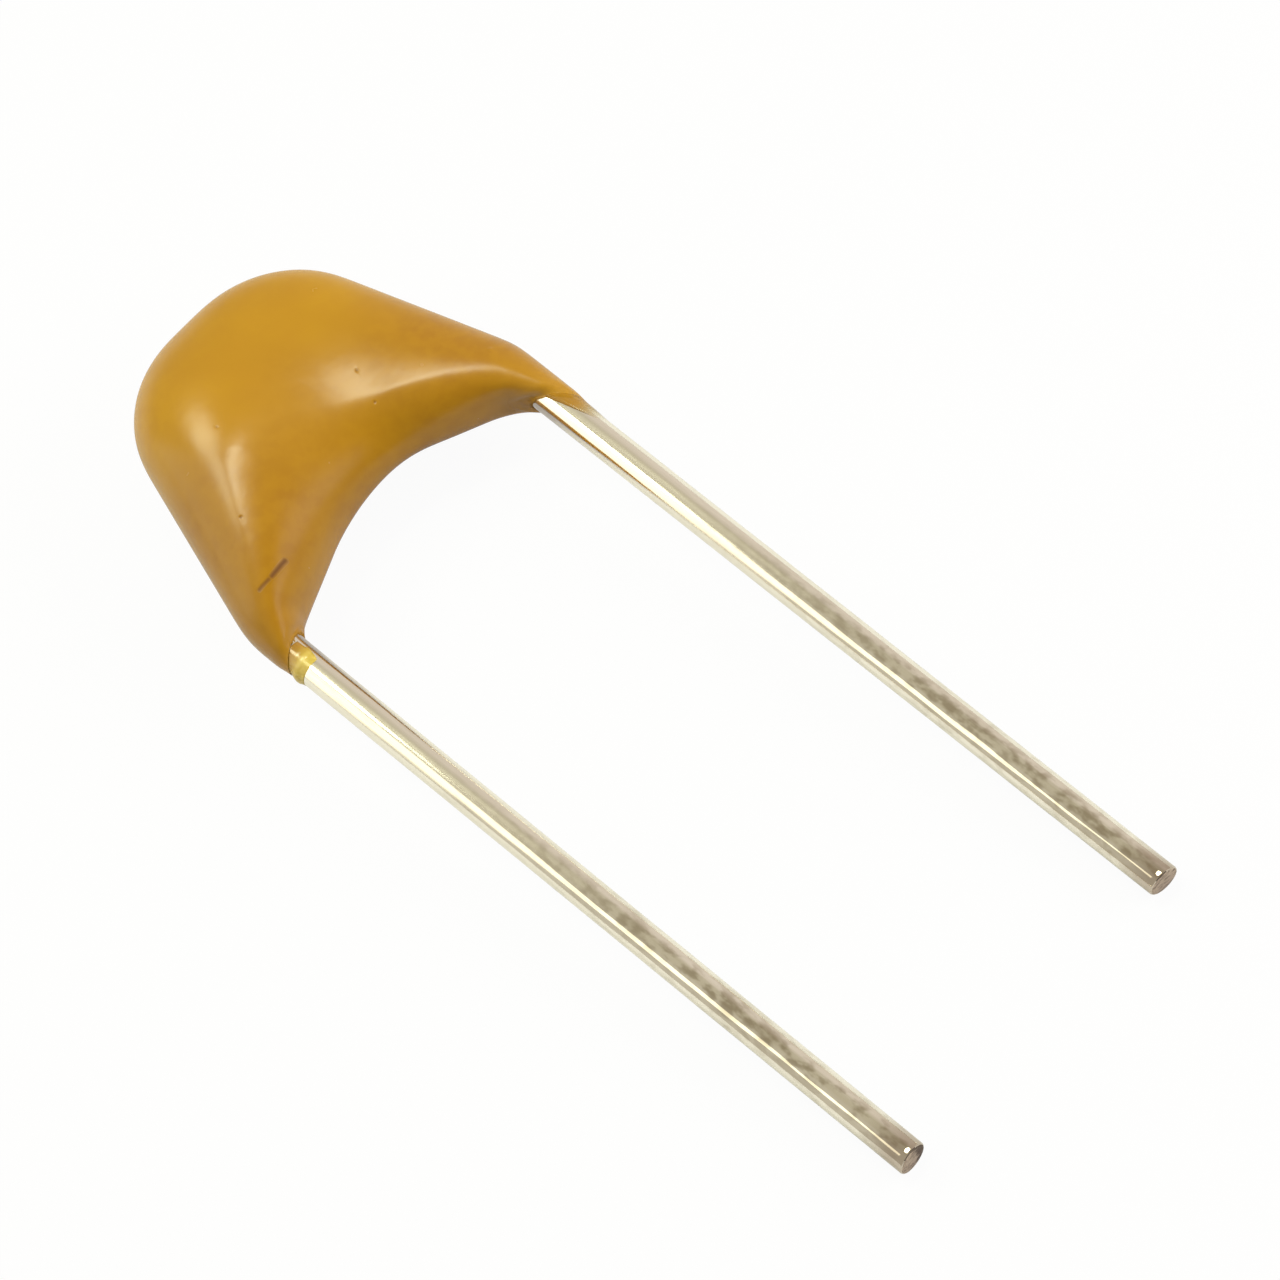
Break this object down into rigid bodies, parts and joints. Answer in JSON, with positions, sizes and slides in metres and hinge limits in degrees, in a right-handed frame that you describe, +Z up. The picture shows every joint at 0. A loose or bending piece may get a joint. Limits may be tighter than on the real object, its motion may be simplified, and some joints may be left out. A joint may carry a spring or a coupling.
{
  "type": "ceramic capacitor",
  "caption": "Dipped ceramic capacitor: a bell-shaped ochre coating over a ceramic chip, with straight radial wires for a circuit board.",
  "frame": {"origin": "middle of the footprint, on the surface that the part lies on", "axes": "+X across the two wires to the right one, +Y from the wire tips to the crown of the coating, +Z up"},
  "size_m": [0.0056, 0.0172, 0.0023],
  "materials": {
    "epoxy_coating": "satin",
    "chip_ceramic": "matt",
    "end_metal": "satin",
    "solder": "satin",
    "tinned_wire": "bright tin, a little dulled"
  },
  "bodies": {
    "root": {"coating": "epoxy_coating", "ceramic_chip": "chip_ceramic", "end_termination_left": "end_metal", "end_termination_right": "end_metal", "solder_joint_left": "solder", "solder_joint_right": "solder", "lead_left": "tinned_wire", "lead_right": "tinned_wire"}
  },
  "joints": []
}
